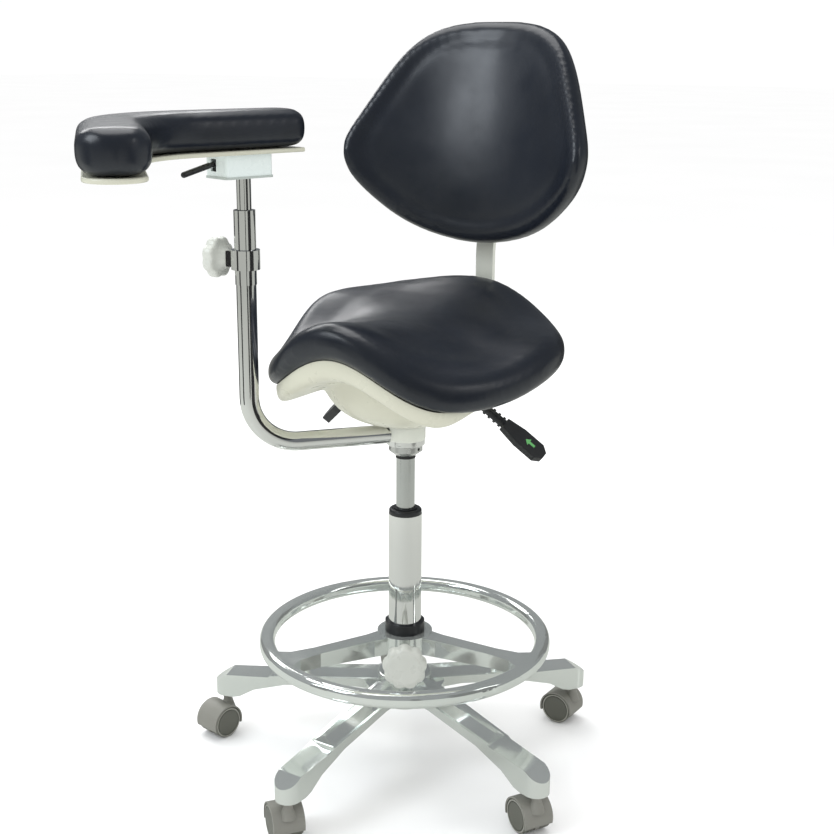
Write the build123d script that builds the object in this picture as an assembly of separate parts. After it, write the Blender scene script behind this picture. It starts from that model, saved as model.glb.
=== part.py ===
"""Saddle stool for dental work: star base on twin-wheel casters, gas lift, foot ring,
saddle seat, curved backrest and a swinging arm with a J-shaped pad.

Frame: millimetres, +Z up, origin on the column axis at floor level.
The sitter faces -Y, so the sitter's left hand is on the +X side.
"""
import os
from math import cos, exp, hypot, radians, sin

from build123d import *

os.makedirs("parts", exist_ok=True)

# ---------------------------------------------------------------- driving dimensions
RUN = 0.05                 # radial clearance of every turning or sliding fit
DATUM = -16                # heights above the casters are given from a level this far below the floor

LEG_ANGLES = [54, 126, 198, 270, 342]
LEG_TIP_R = 313
NOSE_R = 19
STEM_CIRCLE_R = 296
CASTER_TRAIL_ANGLES = [179, 133, 261, 144, 150]   # way each caster happens to point
HUB_R = 42
HUB_BOTTOM = 112
HUB_TOP = 160

WHEEL_R = 25               # caster heights are given from the floor itself
WHEEL_W = 18
TRAIL = 19
HOOD_R = 28
HOOD_HALF_W = 22.7
TOWER_TOP = 61
STEM_R = 5
AXLE_R = 3

TUBE_R = 25
TUBE_TOP = 416
GAS_R = 14
GAS_BOTTOM = 205
GAS_TOP = 600
ROD_R = 5
COLLAR_Z = 515

RING_R = 210.5
RING_W = 23
RING_H = 22
RING_TOP = 226
RING_HUB_R = 42
RING_HUB_BOTTOM = 197
RING_KNOB_ANGLE = 303
SPOKE_ANGLES = [3, 123, 243]

ARM_Z = 541
ARM_ANGLE = 230
ARM_REACH = 231
ARM_TUBE_R = 14
ARM_HUB_TOP = 555
ARM_BEND_R = 70
ARM_TOP = 874
POST_R = 10
POST_BOTTOM = 660
ARM_KNOB_ANGLE = 185
ARM_KNOB_Z = 806.5

PAD_HEADING = 256
PAD_TURN = 60
PAD_REAR = 87
PAD_FRONT = 92.5
PAD_ARC_R = 190
PAD_TIP = 168
PAD_W = 84
PAD_T = 55
PAD_BOTTOM = 956
PLATE_T = 6
HEAD_TOP = PAD_BOTTOM - PLATE_T
HEAD_BOTTOM = 918
HEAD_L = 76
HEAD_W = 50

SEAT_W = 214               # half width at the widest place
SEAT_FOAM = 56
RIDGE_HALF_W = 178
SEAT_BOARD = 9
SHELL_DROP = 14
APRON_DROP = 26
SHELL_WALL = 3
SHELL_MOUTH_Z = 555.6

LEVER_ANGLE = 19           # plan angle of each lever behind the X axis
LEVER_DROOP = 38.5
LEVER_Z = 609
LEVER_PIVOT_R = 38
LEVER_BEND_R = 90
LEVER_TIP_R = 204
PADDLE_ROLL = 35

BACK_R = 310               # wrap radius at the middle of the backrest
BACK_LEAN = 12.1
BACK_Y = 223
BACK_Z = 935
BACK_FOAM_FRONT = -28
BACK_FOAM_BACK = 18
BACK_SHELL_BACK = 25
BAR_W = 30
BAR_T = 8
BAR_Y = 227
BAR_Z = 603
HINGE_Y = 92


# ---------------------------------------------------------------- helpers
def tube(r_out, r_in, z0, z1):
    """Upright tube on the Z axis."""
    return cylinder(r_out, z0, z1) - cylinder(r_in, z0 - 1, z1 + 1)


def cylinder(r, z0, z1):
    """Upright cylinder on the Z axis."""
    return Pos(0, 0, z0) * Cylinder(r, z1 - z0, align=(Align.CENTER, Align.CENTER, Align.MIN))


def cone(r0, r1, z0, z1):
    """Upright truncated cone on the Z axis."""
    return Pos(0, 0, z0) * Cone(r0, r1, z1 - z0, align=(Align.CENTER, Align.CENTER, Align.MIN))


def block(x0, x1, y0, y1, z0, z1):
    """Box between two corners."""
    centre = Pos((x0 + x1) / 2, (y0 + y1) / 2, (z0 + z1) / 2)
    return centre * Box(x1 - x0, y1 - y0, z1 - z0)


def turn(angle):
    """Rotation about the Z axis."""
    return Rot(0, 0, angle)


def radial(angle, z):
    """Frame whose Z axis points outward from the column at an angle and height."""
    return Pos(0, 0, z) * turn(angle) * Rot(0, 90, 0)


def polygon_xz(points, half_width):
    """Prism of an outline in the XZ plane, centred on Y = 0."""
    outline = Plane.XZ * make_face(Polyline(*points, close=True))
    return extrude(outline, half_width, both=True)


def save(shape, name):
    """Write one node."""
    export_step(shape, f"parts/{name}.step")


def group(solids):
    """Several separate solids kept in one node."""
    return Compound(children=list(solids))


# ---------------------------------------------------------------- star base and column
def leg():
    """One cast leg along +X: a tapering beam with a roofed ridge and a rounded nose."""
    side = [(20, 131), (85, 131), (190, 117), (243, 101), (268, 86), (280, 83), (LEG_TIP_R, 83),
            (LEG_TIP_R, 106), (290, 120), (219, 126), (213, 129), (40, 149), (20, 149)]
    beam = polygon_xz(side, 40)
    nose = LEG_TIP_R - NOSE_R
    plan = make_face(Polyline((20, -25), (215, -21), (nose, -NOSE_R), (nose, NOSE_R), (215, 21), (20, 25), close=True))
    plan += Pos(nose, 0) * Circle(NOSE_R)
    beam &= Pos(0, 0, 60) * extrude(plan, 120)
    inner = [(-24, 147), (-9, 159), (9, 159), (24, 147)]
    outer = [(-19, 127.5), (-4, 141), (4, 141), (19, 127.5)]
    root = Plane((30, 0, 0), x_dir=(0, 1, 0), z_dir=(1, 0, 0))
    step = Plane((211, 0, 0), x_dir=(0, 1, 0), z_dir=(1, 0, 0))
    ridge = loft([root * make_face(Polyline(*inner, close=True)), step * make_face(Polyline(*outer, close=True))])
    groove = [(66, 125), (66, 142), (205, 121), (272, 108), (272, 75), (66, 75)]
    return beam + ridge - polygon_xz(groove, 14)


def star_base():
    """Five legs on one hub, bored for the column and for the caster stems."""
    hub = cylinder(HUB_R, HUB_BOTTOM, HUB_TOP)
    hub = fillet(hub.faces().sort_by(Axis.Z)[-1].edges(), 3)
    base = hub + cylinder(62, 131, 145)
    for angle in LEG_ANGLES:
        base += turn(angle) * leg()
        base += turn(angle) * Pos(STEM_CIRCLE_R, 0, 0) * cone(8, 10, 79, 84)
    base -= cylinder(TUBE_R, HUB_BOTTOM - 5, HUB_TOP + 5)
    for angle in LEG_ANGLES:
        base -= turn(angle) * Pos(STEM_CIRCLE_R, 0, 0) * cylinder(STEM_R, 70, 104)
    return base


def caster_stems():
    """Steel pins fixed in the leg noses, each with its washer."""
    stem = cylinder(STEM_R, 59, 104) + cylinder(7.3, 77.5, 79)
    return group([turn(angle) * Pos(STEM_CIRCLE_R, 0, 0) * stem for angle in LEG_ANGLES])


def column_tube():
    """Chromed outer tube with the end plate that holds the piston rod."""
    return tube(TUBE_R, 22, HUB_BOTTOM, TUBE_TOP) + tube(22, ROD_R + RUN, HUB_BOTTOM, HUB_BOTTOM + 4)


def guide_bush():
    """Plastic bush in the mouth of the tube, with a rounded flange."""
    flange = cylinder(24.6, TUBE_TOP, TUBE_TOP + 8)
    flange = fillet(flange.edges().group_by(Axis.Z)[-1], 3.5)
    bush = cylinder(22, 330, TUBE_TOP) + flange + cylinder(18, TUBE_TOP, TUBE_TOP + 10)
    return bush - cylinder(GAS_R + RUN, 320, TUBE_TOP + 20)


def thrust_bearing():
    """Ball thrust bearing under the shoulder of the piston rod."""
    return tube(15, 7, HUB_BOTTOM + 4, HUB_BOTTOM + 10)


# ---------------------------------------------------------------- casters
def caster_housing():
    """Hood, web, stem tower and axle pin of one caster; swivel axis on Z, wheels trail +X."""
    axle_z = WHEEL_R
    along_y = Pos(TRAIL, 0, axle_z) * Rot(90, 0, 0)
    drum = along_y * Cylinder(HOOD_R, 2 * HOOD_HALF_W)
    hollow = along_y * Cylinder(HOOD_R - 2.5, 2 * HOOD_HALF_W + 2)
    skirt_z = axle_z - 8
    tower = cone(12, STEM_R + 2, 38, 54) + cylinder(STEM_R + 2, 53, TOWER_TOP)
    hood = drum + tower - hollow
    hood -= block(-60, 90, -40, 40, -20, skirt_z)
    web = along_y * Cylinder(HOOD_R - 2, 6)
    web -= block(-60, 90, -40, 40, -20, 8)
    hood += web
    hood -= cylinder(STEM_R + RUN, 42.5, 90)
    hood -= along_y * Cylinder(AXLE_R, 8)
    pin = along_y * Cylinder(AXLE_R, 2 * 20)
    return group([hood, pin])


def caster_wheel(side):
    """One wheel of a caster: tyre, recessed rim and a flush hub cap."""
    centre = side * (4 + WHEEL_W / 2)
    along_y = Pos(TRAIL, centre, WHEEL_R) * Rot(-90 * side, 0, 0)
    wheel = Cylinder(WHEEL_R, WHEEL_W)
    wheel = fillet(wheel.edges(), 2)
    groove = Pos(0, 0, WHEEL_W / 2 - 0.6) * (Cylinder(21.3, 1.4) - Cylinder(20, 1.6))
    wheel -= groove
    wheel -= Pos(0, 0, -1) * Cylinder(AXLE_R + RUN, WHEEL_W)
    return along_y * wheel


def caster_place(index):
    """Frame of one caster at the end of its leg."""
    leg_angle = LEG_ANGLES[index]
    stem = (STEM_CIRCLE_R * cos(radians(leg_angle)), STEM_CIRCLE_R * sin(radians(leg_angle)), 0)
    return Pos(*stem) * turn(CASTER_TRAIL_ANGLES[index])


# ---------------------------------------------------------------- foot ring
def foot_ring():
    """Cast ring, three deep spokes and the split hub that grips the column."""
    section = Plane.XZ * Pos(RING_R, RING_TOP - RING_H / 2) * RectangleRounded(RING_W, RING_H, 8.5)
    ring = revolve(section, Axis.Z)
    hub = cylinder(RING_HUB_R, RING_HUB_BOTTOM, RING_TOP + 1)
    hub = fillet(hub.edges().group_by(Axis.Z)[0], 6)
    profile = [(30, 199), (60, 199), (200, 206), (205, 208), (205, 225), (30, 226)]
    spoke = polygon_xz(profile, 40)
    plan = make_face(Polyline((30, -17), (60, -13), (150, -12), (185, -16), (206, -30), (206, 30),
                              (185, 16), (150, 12), (60, 13), (30, 17), close=True))
    spoke &= Pos(0, 0, 190) * extrude(plan, 50)
    for angle in SPOKE_ANGLES:
        hub += turn(angle) * spoke
    hub &= cylinder(RING_R + 2, 190, 230)
    ring += hub
    ring -= cylinder(28, 190, 235)
    ring -= radial(RING_KNOB_ANGLE, RING_HUB_BOTTOM + 15) * cylinder(4 + RUN, 20, 60)
    return ring


def ring_bush():
    """Black split bush between the hub and the column, standing up as a collar."""
    return tube(28, TUBE_R + RUN, RING_HUB_BOTTOM, RING_TOP + 1) + tube(30, TUBE_R + RUN, RING_TOP + 1, 243)


def lobed_knob(radius, lobes, length):
    """Star knob on +Z: scalloped grip with a raised cap, and a conical boss below it."""
    grip = Cylinder(radius, length, align=(Align.CENTER, Align.CENTER, Align.MIN))
    grip = fillet(grip.edges(), 3)
    scallop_r = radius * 0.30
    for k in range(lobes):
        grip -= turn(360 * k / lobes) * Pos(radius + scallop_r * 0.62, 0, 0) * cylinder(scallop_r, -1, length + 1)
    cap = cylinder(radius * 0.79, length - 1, length + 1.5)
    cap = fillet(cap.edges().group_by(Axis.Z)[-1], 1)
    return grip + cap


def ring_knob():
    """Cream clamp knob of the foot ring."""
    knob = Pos(0, 0, 88) * lobed_knob(33, 9, 24) + cone(10, 17, 62, 89)
    knob -= cylinder(4, 60, 86)
    return radial(RING_KNOB_ANGLE, RING_HUB_BOTTOM + 15) * knob


def ring_knob_screw():
    """Clamp screw, pressing on the bush."""
    return radial(RING_KNOB_ANGLE, RING_HUB_BOTTOM + 15) * cylinder(4, 28.2, 86)


# ---------------------------------------------------------------- gas lift
def piston_rod():
    """Rod that stands in the column and carries the piston."""
    return cylinder(ROD_R, 106, 300) + cylinder(9, 122.2, 126) + cylinder(11.9, 290, 300)


def retaining_clip():
    """Spring clip under the end plate."""
    return tube(9, ROD_R, 108.5, 111.5)


def gas_cylinder():
    """Pressure tube whose taper carries the seat."""
    body = cylinder(GAS_R, GAS_BOTTOM, 560) + cone(GAS_R, 13, 560, GAS_TOP)
    body -= cylinder(12, GAS_BOTTOM + 10, 545)
    body -= cylinder(ROD_R + RUN, GAS_BOTTOM - 1, GAS_BOTTOM + 11)
    return body - cylinder(4 + RUN, 580, GAS_TOP + 1)


def release_pin():
    """Valve button on top of the gas cylinder."""
    return cylinder(4, 586, LEVER_Z - 4.2)


def lock_collar():
    """Clamp collar that holds up the arm hub, with three set-screw holes."""
    collar = cylinder(TUBE_R, COLLAR_Z, 524) + cone(15.5, TUBE_R, 507.5, COLLAR_Z)
    collar -= cylinder(GAS_R, 500, 530)
    for angle in (233, 353, 113):
        collar -= radial(angle, 519.5) * cylinder(2.5, 10, 30)
    return collar


def collar_set_screws():
    """Three grub screws in the lock collar."""
    screw = cylinder(2.5, GAS_R, 24.2) - Pos(0, 0, 22.5) * extrude(RegularPolygon(1.4, 6), 3)
    return group([radial(angle, 519.5) * screw for angle in (233, 353, 113)])


def rod_wiper():
    """Black rubber wiper below the lock collar."""
    return tube(14.9, GAS_R, 503.5, 507.5)


# ---------------------------------------------------------------- seat
def side_height(y):
    """Height of the cushion's underside along the thighs."""
    return 609 + 42 / (1 + exp(-(y - 12) / 36)) + 4 * (max(y, 0) / 180) ** 2


def centre_height(y):
    """Height of the cushion's underside along the middle, with the pommel in front."""
    return 657 + 40 * (max(y, 0) / 200) ** 2 + 25 * (max(-y, 0) / 190) ** 1.3


def saddle_height(x, y):
    """Underside of the seat cushion: two thigh channels either side of a ridge."""
    half_width = RIDGE_HALF_W + 40 * min(max(y, 0) / 150, 1)
    ridge = cos(radians(90 * min(abs(x) / half_width, 1))) ** 2
    return side_height(y) + (centre_height(y) - side_height(y)) * ridge


def saddle_slab(low, high):
    """Solid between two heights measured from the saddle surface."""
    rows = [[(x, y, saddle_height(x, y) + low) for y in range(-250, 251, 50)] for x in range(-260, 261, 40)]
    surface = Face.make_surface_from_array_of_points([[Vector(*p) for p in row] for row in rows])
    return extrude(surface, high - low, dir=(0, 0, 1))


def drawn_in(right, low, high, inset):
    """Closed smooth outline from its right half, pulled in towards its middle."""
    points = [(0, low)] + right + [(0, high)] + [(-x, y) for x, y in reversed(right)]
    half_width = max(x for x, y in right)
    half_length = (high - low) / 2
    middle = (high + low) / 2
    across = 1 - inset / half_width
    along = 1 - inset / half_length
    return make_face(Spline(*[(x * across, middle + (y - middle) * along) for x, y in points], periodic=True))


def seat_outline(inset):
    """Plan of the seat, drawn in from its edge."""
    right = [(72, -189), (132, -157), (174, -98), (204, -15), (SEAT_W, 70), (196, 138), (150, 183), (80, 205)]
    return drawn_in(right, -197, 210, inset)


def seat_prism(inset):
    """Upright prism of the seat outline."""
    return Pos(0, 0, 480) * extrude(seat_outline(inset), 350)


def seat_cushion():
    """Foam and cover with rounded edges."""
    cushion = saddle_slab(0, SEAT_FOAM) & seat_prism(0)
    return fillet(cushion.edges(), 20)


def seat_board():
    """Moulded board under the foam, with four bosses for the mechanism bolts."""
    board = saddle_slab(-SEAT_BOARD, 0) & seat_prism(48)
    bosses = [Pos(x, y, 0) * cylinder(9, 626, 700) for x, y in BOLT_PLACES]
    below = saddle_slab(-SEAT_BOARD - 60, -SEAT_BOARD + 2)
    for boss in bosses:
        board += boss & below
    for x, y in BOLT_PLACES:
        board -= Pos(x, y, 0) * cylinder(3, 620, 640)
    return board


def bowl(shrink):
    """Funnel under the seat, from a wide oval down to the arm hub."""
    sections = [(SHELL_MOUTH_Z, 30, 30, 0), (567, 70, 78, 2), (596, 106, 122, 5), (690, 126, 146, 8)]
    faces = [Pos(0, y, z) * Ellipse(a - shrink, b - shrink) for z, a, b, y in sections]
    return loft(faces)


def tray(shrink):
    """Solid of the shallow tray, with a deeper apron under the pommel."""
    low = -SHELL_DROP + shrink
    apron = saddle_slab(-APRON_DROP + shrink, 0) & seat_prism(21 + shrink)
    apron &= block(-132 + shrink, 132 - shrink, -240, -95 - shrink, 500, 760)
    return apron + (saddle_slab(low, 0) & seat_prism(42 + shrink))


def seat_shell():
    """Cream cover: a shallow tray under the cushion running down into a funnel."""
    funnel = bowl(0) & saddle_slab(-250, -SHELL_DROP + 1)
    shell = tray(0) + funnel
    shell -= tray(SHELL_WALL)
    shell -= bowl(SHELL_WALL) & saddle_slab(-250, -SHELL_DROP + 6)
    shell -= cylinder(GAS_R + 4, 500, 600)
    shell -= block(-19, 19, 52, 200, 585, 645)
    for mirror in (0, 1):
        slot = lever_frame(mirror) * Pos(105, 0, LEVER_Z - 12) * Box(70, 19, 56)
        shell -= slot
    return shell


BOLT_PLACES = [(x, y) for x in (-55, 55) for y in (-40, 80)]


def seat_mechanism():
    """Pressed steel housing: top plate, side walls and the taper socket."""
    plate = block(-64, 64, -52, 104, 622, 626)
    walls = block(-38, 38, -45, 104, 594, 622) - block(-35, 35, -42, 120, 590, 622)
    socket = cylinder(20, 566, 598) + cylinder(36, 594, 598)
    part = plate + walls + socket
    part -= cylinder(GAS_R, 550, 560) + cone(GAS_R, 13, 560, GAS_TOP)
    part -= Pos(0, HINGE_Y, BAR_Z) * Rot(0, 90, 0) * Cylinder(5, 100)
    for mirror in (0, 1):
        part -= lever_frame(mirror) * Pos(50, 0, LEVER_Z) * Box(50, 12, 18)
    for x, y in BOLT_PLACES:
        part -= Pos(x, y, 0) * cylinder(3, 610, 640)
    return part


def seat_bolts():
    """Four bolts that hold the mechanism to the board."""
    bolt = cylinder(3, 620, 638) + extrude(Pos(0, 0, 617) * RegularPolygon(5.5, 6), 5)
    return group([Pos(x, y, 0) * bolt for x, y in BOLT_PLACES])


# ---------------------------------------------------------------- levers under the seat
def lever_frame(mirror):
    """Frame with +X along a lever: on the sitter's left, or mirrored to the right."""
    return turn(180 - LEVER_ANGLE) if mirror else turn(LEVER_ANGLE)


def droop_frame(r):
    """Frame on the drooping part of a lever, +Z pointing down along it."""
    z = LEVER_Z - (r - LEVER_BEND_R) * sin(radians(LEVER_DROOP)) / cos(radians(LEVER_DROOP))
    return Pos(r, 0, z) * Rot(0, 90 + LEVER_DROOP, 0)


def lever_rod(mirror):
    """Bent steel rod from the valve button to inside the handle."""
    inner_end = 0 if mirror == 0 else 24
    bend = (LEVER_BEND_R, 0, LEVER_Z)
    outer = droop_frame(150).position
    rod = Pos((inner_end + LEVER_BEND_R) / 2, 0, LEVER_Z) * Rot(0, 90, 0) * Cylinder(4, LEVER_BEND_R - inner_end)
    rod += Pos(*bend) * Sphere(4)
    length = hypot(outer.X - bend[0], outer.Z - bend[2])
    rod += droop_frame(LEVER_BEND_R) * cylinder(4, 0, length)
    rod += Pos(LEVER_PIVOT_R, 0, LEVER_Z) * Rot(90, 0, 0) * Cylinder(3, 11)
    return lever_frame(mirror) * rod


def lever_handle(mirror):
    """Black handle: ribbed neck and a flat paddle."""
    slant = cos(radians(LEVER_DROOP))
    neck_start = (110 - LEVER_BEND_R) / slant
    paddle_start = (146 - LEVER_BEND_R) / slant
    tip = (LEVER_TIP_R - LEVER_BEND_R) / slant
    along = droop_frame(LEVER_BEND_R)
    neck = cylinder(6.5, neck_start, paddle_start + 4)
    ribs = 5
    for k in range(ribs):
        z = neck_start + (k + 0.3) * (paddle_start - neck_start) / ribs
        neck += cylinder(8.5, z, z + 4)
    plan = Polyline((-9, paddle_start), (-14, paddle_start + 30), (-14, tip - 10), (-6, tip), (6, tip),
                    (14, tip - 10), (14, paddle_start + 30), (9, paddle_start), close=True)
    paddle = extrude(Plane((0, 0, 0), x_dir=(0, 1, 0), z_dir=(1, 0, 0)) * make_face(plan), 6.5, both=True)
    paddle = fillet(paddle.edges().filter_by(GeomType.LINE), 1.5)
    paddle = turn(-PADDLE_ROLL if mirror else PADDLE_ROLL) * paddle
    handle = along * (neck + paddle)
    length = (150 - LEVER_BEND_R) / slant
    handle -= along * cylinder(4, 0, length)
    return lever_frame(mirror) * handle


# ---------------------------------------------------------------- backrest
def back_place():
    """Frame of the backrest: middle of its surface, leaning back."""
    return Pos(0, BACK_Y, BACK_Z) * Rot(-BACK_LEAN, 0, 0)


def back_outline(inset):
    """Rounded shield outline in the plane of the backrest."""
    right = [(60, -137), (122, -117), (170, -84), (199, -50), (207, -10), (195, 30), (174, 80), (149, 130),
             (118, 168), (68, 192)]
    return extrude(Plane.XZ * drawn_in(right, -143, 198, inset), 260, both=True)


def back_layer(front, back, inset):
    """Curved layer of the backrest between two depths."""
    layer = tube(BACK_R + back, BACK_R + front, -180, 230)
    return back_place() * ((Pos(0, -BACK_R, 0) * layer & block(-240, 240, -150, 80, -180, 230)) & back_outline(inset))


def backrest_cushion():
    """Foam and cover of the backrest, with rounded edges."""
    cushion = back_layer(BACK_FOAM_FRONT, BACK_FOAM_BACK, 3)
    return fillet(cushion.edges(), 16)


def backrest_shell():
    """Rear cover with the boss that the bar is screwed to."""
    shell = back_layer(BACK_FOAM_BACK, BACK_SHELL_BACK, 20)
    boss = block(-28, 28, BACK_SHELL_BACK - 5, BAR_BACK_FACE, -120, 10)
    shell += back_place() * boss
    for x, z in BACK_SCREWS:
        shell -= back_place() * Pos(x, BAR_BACK_FACE, z) * Rot(90, 0, 0) * Cylinder(2.5, 16)
    return shell


BAR_BACK_FACE = 31         # depth of the boss face behind the middle surface
BACK_SCREWS = [(-7, -100), (7, -100), (-7, -20), (7, -20)]


def back_bar():
    """Flat steel bar: hinge eye under the seat, bend behind it, and a leaning upper end."""
    lean = radians(BACK_LEAN)
    half = BAR_T / 2
    top = back_place() * Pos(0, BAR_BACK_FACE + half, 5)
    top_y = top.position.Y
    top_z = top.position.Z
    kink_z = top_z - (top_y - BAR_Y) / sin(lean) * cos(lean)
    points = [(0, HINGE_Y, BAR_Z), (0, BAR_Y, BAR_Z), (0, BAR_Y, kink_z), (0, top_y, top_z)]
    path = FilletPolyline(*points, radius=[34, 120])
    start = Plane(origin=points[0], x_dir=(1, 0, 0), z_dir=(0, 1, 0))
    bar = sweep(start * Rectangle(BAR_W, BAR_T), path=path)
    bar += Pos(0, HINGE_Y, BAR_Z) * Rot(0, 90, 0) * Cylinder(12, BAR_W)
    bar -= Pos(0, HINGE_Y, BAR_Z) * Rot(0, 90, 0) * Cylinder(5 + RUN, BAR_W + 2)
    for x, z in BACK_SCREWS:
        bar -= back_place() * Pos(x, BAR_BACK_FACE + half, z) * Rot(90, 0, 0) * Cylinder(2.5, 30)
    return bar


def backrest_screws():
    """Four screws through the bar into the shell boss."""
    shank = Rot(90, 0, 0) * Cylinder(2.5, 15)
    screws = []
    for x, z in BACK_SCREWS:
        head = Pos(x, BAR_BACK_FACE + BAR_T + 1.2, z) * Rot(90, 0, 0) * Cylinder(5, 2.4)
        screws.append(back_place() * (Pos(x, BAR_BACK_FACE + BAR_T + 0.5 - 7.5, z) * shank + head))
    return group(screws)


def back_hinge_pin():
    """Pin through the mechanism walls and the eye of the bar."""
    return Pos(0, HINGE_Y, BAR_Z) * Rot(0, 90, 0) * (Cylinder(5, 78) + Pos(0, 0, 40) * Cylinder(8, 3))


# ---------------------------------------------------------------- swinging arm
def arm_path(start_r):
    """Centreline of the arm tube: out from the column, then up."""
    points = [(start_r, 0, ARM_Z), (ARM_REACH, 0, ARM_Z), (ARM_REACH, 0, ARM_TOP - 1)]
    return FilletPolyline(*points, radius=ARM_BEND_R)


def arm_tube():
    """Bent chromed tube welded to the hub that turns on the gas cylinder."""
    outer = sweep(Plane((24, 0, ARM_Z), x_dir=(0, 1, 0), z_dir=(1, 0, 0)) * Circle(ARM_TUBE_R), path=arm_path(24))
    inner = sweep(Plane((40, 0, ARM_Z), x_dir=(0, 1, 0), z_dir=(1, 0, 0)) * Circle(POST_R + RUN), path=arm_path(40))
    hub = cylinder(28.5, 524.2, ARM_HUB_TOP)
    hub = fillet(hub.edges(), 1)
    arm = (outer & block(0, 300, -50, 50, 524.2, 900)) + hub
    arm = arm - inner - Pos(ARM_REACH, 0, 0) * cylinder(POST_R + RUN, 860, 900)
    arm = turn(ARM_ANGLE) * arm
    arm -= cylinder(17, 500, 600)
    arm -= radial(283, 541) * cylinder(2.5, 15, 40)
    arm -= radial(283, 536) * Pos(0, 0, 28.5) * Box(18, 5, 2)
    arm -= arm_knob_place() * cylinder(3 + RUN, 0, 30)
    return arm


def arm_hub_bush():
    """Nylon liner of the arm hub."""
    return tube(17, GAS_R + RUN, 524.2, ARM_HUB_TOP)


def arm_hub_screw():
    """Friction screw in the slot of the arm hub."""
    return radial(283, 541) * cylinder(2.5, 17, 28.2)


def arm_knob_place():
    """Frame on the upright tube with +Z along the clamp screw."""
    post = (ARM_REACH * cos(radians(ARM_ANGLE)), ARM_REACH * sin(radians(ARM_ANGLE)), ARM_KNOB_Z)
    return Pos(*post) * turn(ARM_KNOB_ANGLE) * Rot(0, 90, 0)


def post_place():
    """Frame on the axis of the upright post."""
    return Pos(ARM_REACH * cos(radians(ARM_ANGLE)), ARM_REACH * sin(radians(ARM_ANGLE)), 0)


def arm_sleeve():
    """Chromed sleeve over the top of the tube."""
    return post_place() * tube(15, ARM_TUBE_R, 772, ARM_TOP) - arm_knob_place() * cylinder(3 + RUN, 0, 30)


def arm_clamp():
    """Clamp collar with the boss for the knob."""
    ring = tube(20, 15, ARM_KNOB_Z - 13.5, ARM_KNOB_Z + 13.5)
    boss = turn(ARM_KNOB_ANGLE) * block(17, 27, -9, 9, ARM_KNOB_Z - 11, ARM_KNOB_Z + 11)
    ring += boss - cylinder(15, 700, 900)
    return post_place() * ring - arm_knob_place() * cylinder(3 + RUN, 10, 30)


def arm_knob():
    """Cream clamp knob of the arm."""
    knob = Pos(0, 0, 38) * lobed_knob(29, 8, 17) + cone(9, 16, 27.5, 39)
    return arm_knob_place() * (knob - cylinder(3, 20, 50))


def arm_knob_screw():
    """Clamp screw that presses on the post."""
    return arm_knob_place() * cylinder(3, POST_R + 0.1, 50)


def arm_post():
    """Sliding post with the locking disc at its head."""
    post = cylinder(POST_R, POST_BOTTOM, 940) + cylinder(20, 932, 938)
    return post_place() * post


# ---------------------------------------------------------------- arm head and pad
def head_place():
    """Frame of the arm head: post axis, +X along the pad towards its curved end."""
    return post_place() * turn(PAD_HEADING)


def arm_head():
    """Box under the pad that turns on the post."""
    centre_x = 6
    box = block(centre_x - HEAD_L / 2, centre_x + HEAD_L / 2, -24, 24, HEAD_BOTTOM + 3, HEAD_TOP)
    box = fillet(box.edges().filter_by(Axis.Z), 4)
    box -= block(centre_x - HEAD_L / 2 + 3, centre_x + HEAD_L / 2 - 3, -21, 21, 915, HEAD_TOP - 3)
    box -= block(30, 60, -12, 0, 927.5, 944)
    return head_place() * box


def arm_head_base():
    """Grey plate that closes the box, bored for the post."""
    plate = block(5 - HEAD_L / 2, 7 + HEAD_L / 2, -25, 25, HEAD_BOTTOM, HEAD_BOTTOM + 3)
    plate = fillet(plate.edges().filter_by(Axis.Z), 4)
    plate += cylinder(15, HEAD_BOTTOM + 2, 931.8)
    return head_place() * (plate - cylinder(POST_R + RUN, 900, 950))


def head_lever():
    """Small black lever at the front of the box."""
    rod = Pos(27, -6, 941.5) * Rot(0, 90 + 14, 0) * cylinder(3, 0, 62)
    tip = Pos(27, -6, 941.5) * Rot(0, 90 + 14, 0) * (cylinder(4, 24, 66) + Pos(0, 0, 66) * Sphere(4))
    pivot = Pos(27, 0, 941.5) * Rot(90, 0, 0) * Cylinder(2.5, 41.8)
    return head_place() * (rod + tip + pivot)


def pad_sweep(section_plane, start, tip):
    """Sweep of a section along the J-shaped centreline of the pad."""
    angle = radians(PAD_TURN)
    first = (-start, 0)
    bend = (PAD_FRONT, 0)
    centre = (PAD_FRONT, PAD_ARC_R)
    end_bend = (centre[0] + PAD_ARC_R * sin(angle), centre[1] - PAD_ARC_R * cos(angle))
    last = (end_bend[0] + tip * cos(angle), end_bend[1] + tip * sin(angle))
    path = Line(first, bend) + CenterArc(centre, PAD_ARC_R, -90, PAD_TURN) + Line(end_bend, last)
    return sweep(section_plane, path=path), last


def pad_solid(width, low, high, corner, start):
    """J-shaped solid between two heights, round at its tip."""
    height = high - low
    plane = Plane((-start, 0, 0), x_dir=(0, 1, 0), z_dir=(1, 0, 0))
    section = plane * Pos(0, (low + high) / 2) * RectangleRounded(width, height, corner)
    body, last = pad_sweep(section, start, PAD_TIP)
    half = RectangleRounded(width, height, corner) & Pos(width / 4, 0) * Rectangle(width / 2, height)
    cap = revolve(Plane.XZ * Pos(0, (low + high) / 2) * half, Axis.Z, 180)
    body += Pos(*last, 0) * turn(PAD_TURN - 90) * cap
    return head_place() * body


def arm_pad():
    """Foam and cover of the arm pad."""
    return pad_solid(PAD_W, PAD_BOTTOM, PAD_BOTTOM + PAD_T, 25, PAD_REAR)


def pad_plate():
    """Cream plate under the arm pad."""
    return pad_solid(PAD_W - 14, HEAD_TOP, PAD_BOTTOM, 2.5, PAD_REAR - 8)


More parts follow.
